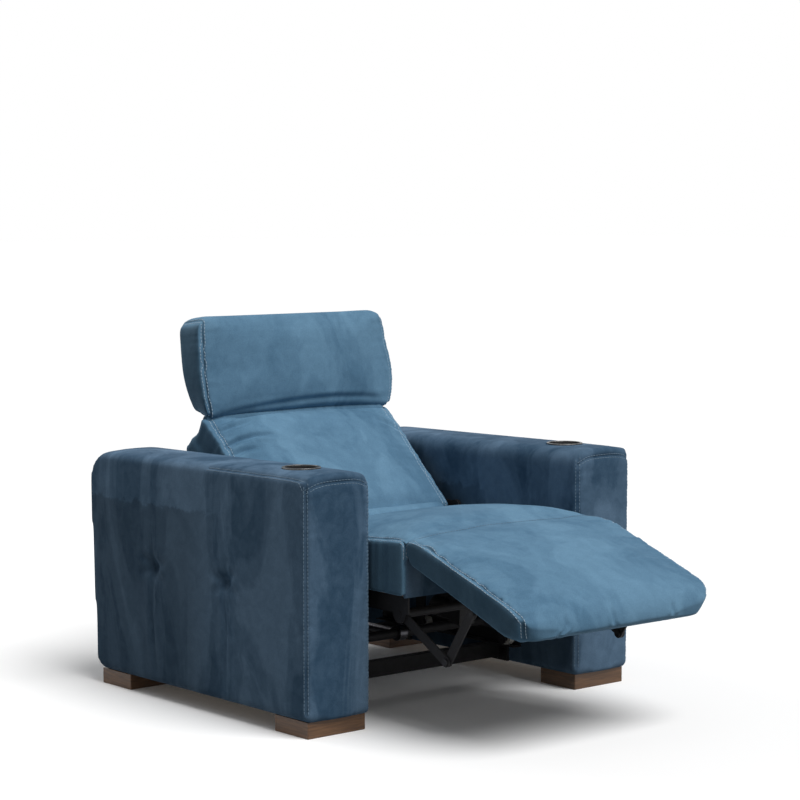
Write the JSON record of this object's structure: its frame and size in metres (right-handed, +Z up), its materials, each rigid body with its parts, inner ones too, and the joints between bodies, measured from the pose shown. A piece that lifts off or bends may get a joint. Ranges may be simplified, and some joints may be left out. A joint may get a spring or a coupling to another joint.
{
  "type": "power recliner",
  "caption": "Open power recliner: padded arms with cup holders, reclining back, tilting headrest, and a footrest on parallel links driven by the sliding seat carriage.",
  "frame": {"origin": "on the floor, under the middle of the whole chair's box", "axes": "+X the sitter's left, +Y the back of the chair, +Z up"},
  "size_m": [1.094, 1.4196, 0.9664],
  "materials": {
    "velvet": "brushed blue velvet over foam",
    "frame_timber": "bare softwood and plywood",
    "walnut": "dark walnut stain, satin",
    "webbing": "woven elastic webbing",
    "black_steel": "black powder coat",
    "zinc_steel": "zinc plate",
    "rod_steel": "ground steel",
    "cup_liner": "black moulded liner",
    "cup_rim_metal": "dark brushed steel",
    "roller_nylon": "natural nylon",
    "motor_case": "black moulded case",
    "switch_plate": "dark brushed plate",
    "button_plastic": "black push button"
  },
  "bodies": {
    "base": {"left_arm_frame": "frame_timber", "right_arm_frame": "frame_timber", "left_arm_cover": "velvet", "right_arm_cover": "velvet", "cup_wells": "cup_liner", "cup_rims": "cup_rim_metal", "feet": "walnut", "foot_screws": "zinc_steel", "cross_tubes": "black_steel", "flange_bolts": "zinc_steel", "roller_tracks": "black_steel", "rear_panel": "velvet", "power_inlet": "motor_case", "control_box": "motor_case", "leg_motor_tube": "motor_case", "leg_motor_can": "motor_case", "leg_motor_post": "black_steel", "switch_panel": "switch_plate"},
    "seat_carriage": {"side_plates": "black_steel", "roller_axles": "zinc_steel", "carriage_tubes": "black_steel", "carriage_crossbar": "black_steel", "leg_motor_rod": "rod_steel", "seat_frame": "frame_timber", "seat_webbing": "webbing", "seat_cushion": "velvet", "footrest_hinge_arms": "black_steel", "recline_brackets": "black_steel", "carriage_pins": "zinc_steel"},
    "footrest": {"footrest_board": "frame_timber", "footrest_cushion": "velvet", "footrest_hinge_leaves": "black_steel", "footrest_link_lugs": "black_steel", "footrest_link_pins": "zinc_steel"},
    "back": {"back_frame": "frame_timber", "back_webbing": "webbing", "back_cushion": "velvet", "back_outer_panel": "velvet", "recline_plates": "black_steel", "headrest_shaft_brackets": "black_steel", "headrest_motor": "motor_case", "back_drive_bracket": "black_steel", "back_drive_pin": "zinc_steel"},
    "front_rollers": {"front_roller_pair": "roller_nylon"},
    "rear_rollers": {"rear_roller_pair": "roller_nylon"},
    "cranks": {"torque_tube": "black_steel", "footrest_cranks": "black_steel"},
    "couplers": {"footrest_couplers": "black_steel", "knee_bolts": "zinc_steel"},
    "back_motor": {"back_motor_tube": "motor_case", "back_motor_can": "motor_case"},
    "back_rod": {"back_motor_rod": "rod_steel"},
    "headrest": {"headrest_board": "frame_timber", "headrest_arms": "black_steel", "headrest_shaft": "zinc_steel", "headrest_cushion": "velvet"},
    "button_1": {"control_button_1": "button_plastic"},
    "button_2": {"control_button_2": "button_plastic"},
    "button_3": {"control_button_3": "button_plastic"},
    "button_4": {"control_button_4": "button_plastic"}
  },
  "joints": [
    {"name": "seat_slide", "type": "slide", "parent": "base", "child": "seat_carriage", "axis": [0, 1, 0], "range_m": [0, 0.15]},
    {"name": "footrest_fold", "type": "hinge", "parent": "seat_carriage", "child": "footrest", "pos_m": [0, -0.34667, 0.40439], "axis": [1, 0, 0], "range_deg": [0, 71.15]},
    {"name": "crank_swing", "type": "hinge", "parent": "seat_carriage", "child": "cranks", "pos_m": [0, -0.26867, 0.28239], "axis": [1, 0, 0], "range_deg": [0, 71.15]},
    {"name": "coupler_swing", "type": "hinge", "parent": "footrest", "child": "couplers", "pos_m": [0, -0.5072, 0.31138], "axis": [1, 0, 0], "range_deg": [-71.15, 0]},
    {"name": "front_roller_spin", "type": "hinge", "parent": "seat_carriage", "child": "front_rollers", "pos_m": [0, 0.01338, 0.1113], "axis": [1, 0, 0], "range_deg": [-481, 0]},
    {"name": "rear_roller_spin", "type": "hinge", "parent": "seat_carriage", "child": "rear_rollers", "pos_m": [0, 0.34338, 0.1113], "axis": [1, 0, 0], "range_deg": [-481, 0]},
    {"name": "back_recline", "type": "hinge", "parent": "seat_carriage", "child": "back", "pos_m": [0, 0.23738, 0.443], "axis": [1, 0, 0], "range_deg": [0, 30]},
    {"name": "back_motor_swing", "type": "hinge", "parent": "seat_carriage", "child": "back_motor", "pos_m": [0, -0.15662, 0.262], "axis": [1, 0, 0], "range_deg": [-0.05, 3.2]},
    {"name": "back_rod_slide", "type": "slide", "parent": "back_motor", "child": "back_rod", "axis": [0, 0.9969, 0.079], "range_m": [-0.0002, 0.07369]},
    {"name": "headrest_tilt", "type": "hinge", "parent": "back", "child": "headrest", "pos_m": [0, 0.52138, 0.69365], "axis": [1, 0, 0], "range_deg": [-38, 0]},
    {"name": "button_1_press", "type": "slide", "parent": "base", "child": "button_1", "axis": [-1, 0, 0], "range_m": [0, 0.0015], "stiffness_N_per_m": 400},
    {"name": "button_2_press", "type": "slide", "parent": "base", "child": "button_2", "axis": [-1, 0, 0], "range_m": [0, 0.0015], "stiffness_N_per_m": 400},
    {"name": "button_3_press", "type": "slide", "parent": "base", "child": "button_3", "axis": [-1, 0, 0], "range_m": [0, 0.0015], "stiffness_N_per_m": 400},
    {"name": "button_4_press", "type": "slide", "parent": "base", "child": "button_4", "axis": [-1, 0, 0], "range_m": [0, 0.0015], "stiffness_N_per_m": 400}
  ],
  "couplings": [
    {"joint": "footrest_fold", "follows": "seat_slide", "rad_per_m": 8.2729},
    {"joint": "crank_swing", "follows": "seat_slide", "rad_per_m": 8.2729},
    {"joint": "coupler_swing", "follows": "seat_slide", "rad_per_m": -8.2729},
    {"joint": "front_roller_spin", "follows": "seat_slide", "rad_per_m": -55.556},
    {"joint": "rear_roller_spin", "follows": "seat_slide", "rad_per_m": -55.556},
    {"joint": "back_motor_swing", "follows": "back_recline", "ratio": 0.10485},
    {"joint": "back_rod_slide", "follows": "back_recline", "m_per_rad": 0.14035}
  ]
}
